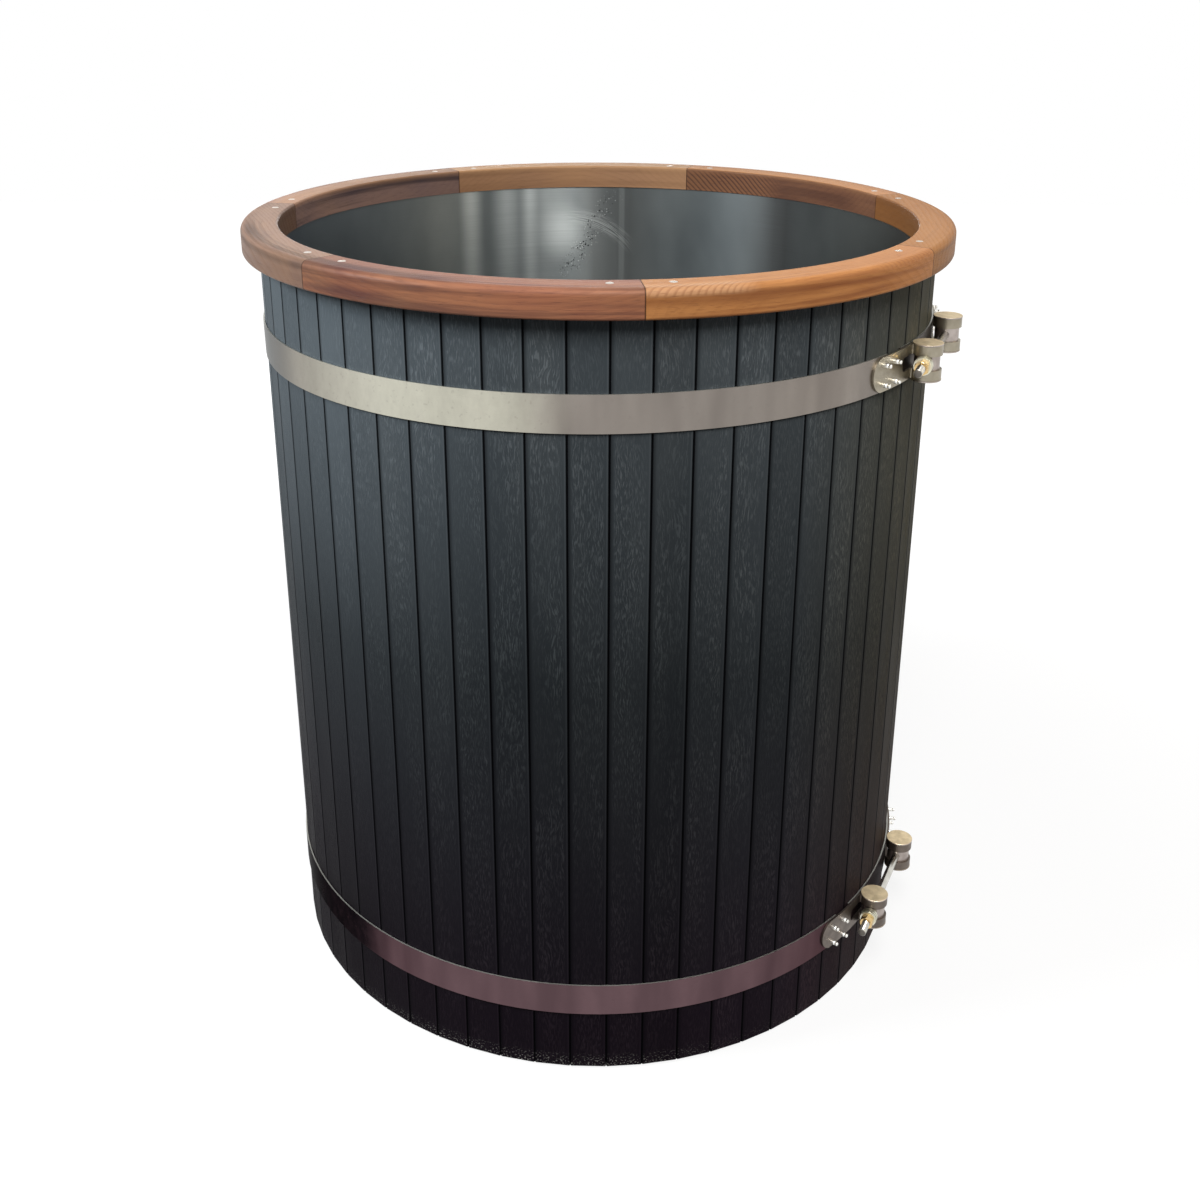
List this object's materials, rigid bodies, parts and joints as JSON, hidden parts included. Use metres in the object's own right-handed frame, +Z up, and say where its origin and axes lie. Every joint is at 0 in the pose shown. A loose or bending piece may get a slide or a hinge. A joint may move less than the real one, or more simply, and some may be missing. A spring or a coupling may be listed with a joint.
{
  "type": "cold plunge tub",
  "caption": "Upright round plunge tub of vertical plastic boards with a steel liner, a timber rim, steel hoops tightened by threaded rods, and a drain valve at the back.",
  "frame": {"origin": "on the ground under the tub's axis, on the underside of the middle bearer", "axes": "+Z up along the tub's axis, -Y towards the front of the picture, +X to its right, where the hoops' tensioners are"},
  "size_m": [1.0539, 1.12, 1.163],
  "materials": {
    "board_plastic": "embossed wood grain, satin",
    "rim_wood_1": "oiled, grain along the segment",
    "rim_wood_2": "oiled, grain along the segment",
    "rim_wood_3": "oiled, grain along the segment",
    "rim_wood_4": "oiled, grain along the segment",
    "rim_wood_5": "oiled, grain along the segment",
    "rim_wood_6": "oiled, grain along the segment",
    "rim_wood_7": "oiled, grain along the segment",
    "spline_wood": "sawn",
    "liner_steel": "brushed round the tub",
    "hoop_steel": "cold-rolled, satin",
    "lug_steel": "satin",
    "rivet_steel": "bright",
    "pin_steel": "turned",
    "rod_steel": "threaded",
    "spring_steel": "bright",
    "nut_steel": "bright",
    "fastener_steel": "bright",
    "bearer_timber": "sawn",
    "panel_board": "film-faced ply",
    "foam": "closed-cell foam, matt",
    "rubber": "matt",
    "pipe_steel": "plain",
    "valve_brass": "nickelled, satin",
    "seat_plastic": "matt",
    "ball_chrome": "polished",
    "lever_steel": "zinc plated",
    "grip_vinyl": "dipped vinyl"
  },
  "bodies": {
    "tub": {"base_bearers": "bearer_timber", "panel_screws": "fastener_steel", "base_panel": "panel_board", "floor_insulation": "foam", "liner": "liner_steel", "wall_insulation": "foam", "staves_front": "board_plastic", "staves_right": "board_plastic", "staves_back": "board_plastic", "staves_left": "board_plastic", "rim_splines": "spline_wood", "rim_screws": "fastener_steel", "rim_segment_1": "rim_wood_1", "rim_segment_2": "rim_wood_2", "rim_segment_3": "rim_wood_3", "rim_segment_4": "rim_wood_4", "rim_segment_5": "rim_wood_5", "rim_segment_6": "rim_wood_6", "rim_segment_7": "rim_wood_7", "upper_hoop_band": "hoop_steel", "upper_near_lug": "lug_steel", "upper_far_lug": "lug_steel", "upper_lug_rivets": "rivet_steel", "upper_near_pin": "pin_steel", "upper_far_pin": "pin_steel", "upper_rod": "rod_steel", "upper_disc_springs": "spring_steel", "upper_anchor_nut": "nut_steel", "lower_hoop_band": "hoop_steel", "lower_near_lug": "lug_steel", "lower_far_lug": "lug_steel", "lower_lug_rivets": "rivet_steel", "lower_near_pin": "pin_steel", "lower_far_pin": "pin_steel", "lower_rod": "rod_steel", "lower_disc_springs": "spring_steel", "lower_anchor_nut": "nut_steel", "drain_strainer": "fastener_steel", "drain_flange": "liner_steel", "drain_gasket": "rubber", "drain_locknut": "fastener_steel", "drain_elbow": "pipe_steel", "drain_pipe": "pipe_steel", "pipe_collar": "rubber", "valve_body": "valve_brass", "valve_seats": "seat_plastic", "valve_gland": "valve_brass"},
    "upper_take_up": {"upper_washer": "fastener_steel"},
    "upper_nut": {"upper_nut": "nut_steel"},
    "lower_take_up": {"lower_washer": "fastener_steel"},
    "lower_nut": {"lower_nut": "nut_steel"},
    "valve_lever": {"valve_ball": "ball_chrome", "valve_stem": "fastener_steel", "valve_lever": "lever_steel", "lever_grip": "grip_vinyl", "lever_nut": "nut_steel"}
  },
  "joints": [
    {"name": "upper_nut_travel", "type": "slide", "parent": "tub", "child": "upper_take_up", "axis": [-0.3811, -0.9245, -0.003], "range_m": [0, 0.00701]},
    {"name": "upper_nut_turn", "type": "hinge", "parent": "upper_take_up", "child": "upper_nut", "pos_m": [0.43185, -0.30867, 1.00789], "axis": [-0.3811, -0.9245, -0.003], "range_deg": [0, 1440]},
    {"name": "lower_nut_travel", "type": "slide", "parent": "tub", "child": "lower_take_up", "axis": [-0.4226, -0.9063, 0], "range_m": [0, 0.00701]},
    {"name": "lower_nut_turn", "type": "hinge", "parent": "lower_take_up", "child": "lower_nut", "pos_m": [0.41742, -0.32794, 0.126], "axis": [-0.4226, -0.9063, 0], "range_deg": [0, 1440]},
    {"name": "valve_turn", "type": "hinge", "parent": "tub", "child": "valve_lever", "pos_m": [0, 0.558, 0.034], "axis": [0, 0, 1], "range_deg": [0, 90]}
  ],
  "couplings": [
    {"joint": "upper_nut_travel", "follows": "upper_nut_turn", "m_per_rad": 0.00027852},
    {"joint": "lower_nut_travel", "follows": "lower_nut_turn", "m_per_rad": 0.00027852}
  ]
}
